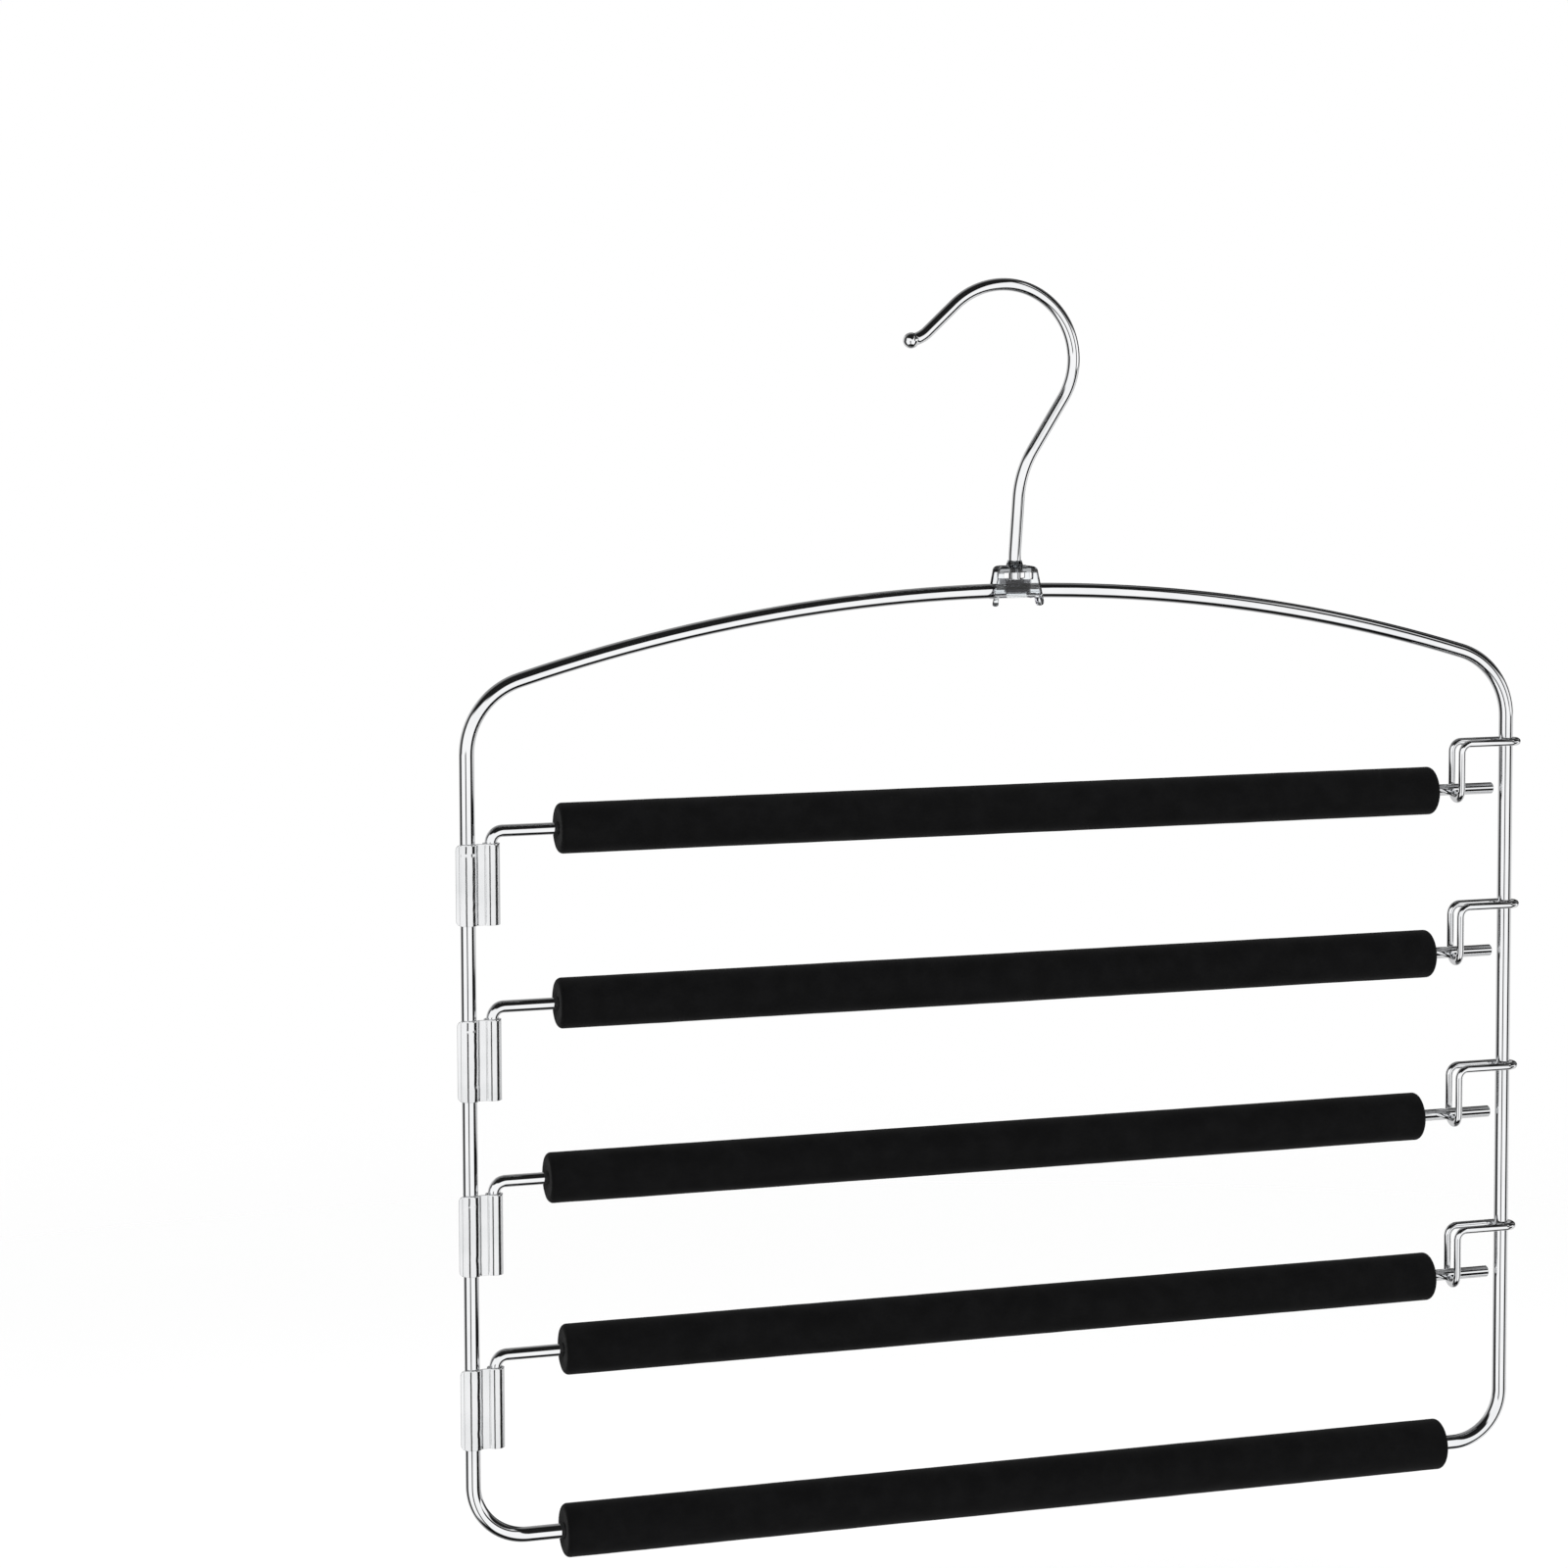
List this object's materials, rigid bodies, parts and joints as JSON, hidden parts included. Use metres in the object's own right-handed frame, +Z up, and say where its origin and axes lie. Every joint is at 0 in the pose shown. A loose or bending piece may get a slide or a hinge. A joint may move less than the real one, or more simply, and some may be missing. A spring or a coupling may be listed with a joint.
{
  "type": "multi tier trouser hanger",
  "caption": "Flat chromed wire hanger for trousers: foam-padded bars one above another, the upper ones swinging out on side hinges and latching in wire catches, under a swivelling hook.",
  "frame": {"origin": "the top of the hook's inside, where it rests on a rail", "axes": "+Z up, +X from the hinge side of the frame to the catch side, +Y to the back"},
  "size_m": [0.3845, 0.018, 0.4249],
  "materials": {
    "chrome": "polished",
    "foam": "matte",
    "clear_plastic": "gloss"
  },
  "bodies": {
    "hook": {"hook": "chrome"},
    "frame": {"outer_frame": "chrome", "bottom_foam": "foam", "top_clip": "clear_plastic", "hinge_bracket_1": "chrome", "hinge_bracket_2": "chrome", "hinge_bracket_3": "chrome", "hinge_bracket_4": "chrome", "arm_catch_1": "chrome", "arm_catch_2": "chrome", "arm_catch_3": "chrome", "arm_catch_4": "chrome"},
    "arm_1": {"swing_arm_1": "chrome", "arm_foam_1": "foam"},
    "arm_2": {"swing_arm_2": "chrome", "arm_foam_2": "foam"},
    "arm_3": {"swing_arm_3": "chrome", "arm_foam_3": "foam"},
    "arm_4": {"swing_arm_4": "chrome", "arm_foam_4": "foam"}
  },
  "joints": [
    {"name": "hook_swivel", "type": "hinge", "parent": "hook", "child": "frame", "pos_m": [0.00411, 0, -0.10148], "axis": [0, 0, 1], "continuous": true},
    {"name": "arm_1_swing", "type": "hinge", "parent": "frame", "child": "arm_1", "pos_m": [-0.17769, 0, -0.17611], "axis": [0, 0, 1], "range_deg": [-135, 135]},
    {"name": "arm_2_swing", "type": "hinge", "parent": "frame", "child": "arm_2", "pos_m": [-0.17769, 0, -0.23421], "axis": [0, 0, 1], "range_deg": [-135, 135]},
    {"name": "arm_3_swing", "type": "hinge", "parent": "frame", "child": "arm_3", "pos_m": [-0.17769, 0, -0.29231], "axis": [0, 0, 1], "range_deg": [-135, 135]},
    {"name": "arm_4_swing", "type": "hinge", "parent": "frame", "child": "arm_4", "pos_m": [-0.17769, 0, -0.35041], "axis": [0, 0, 1], "range_deg": [-135, 135]}
  ]
}
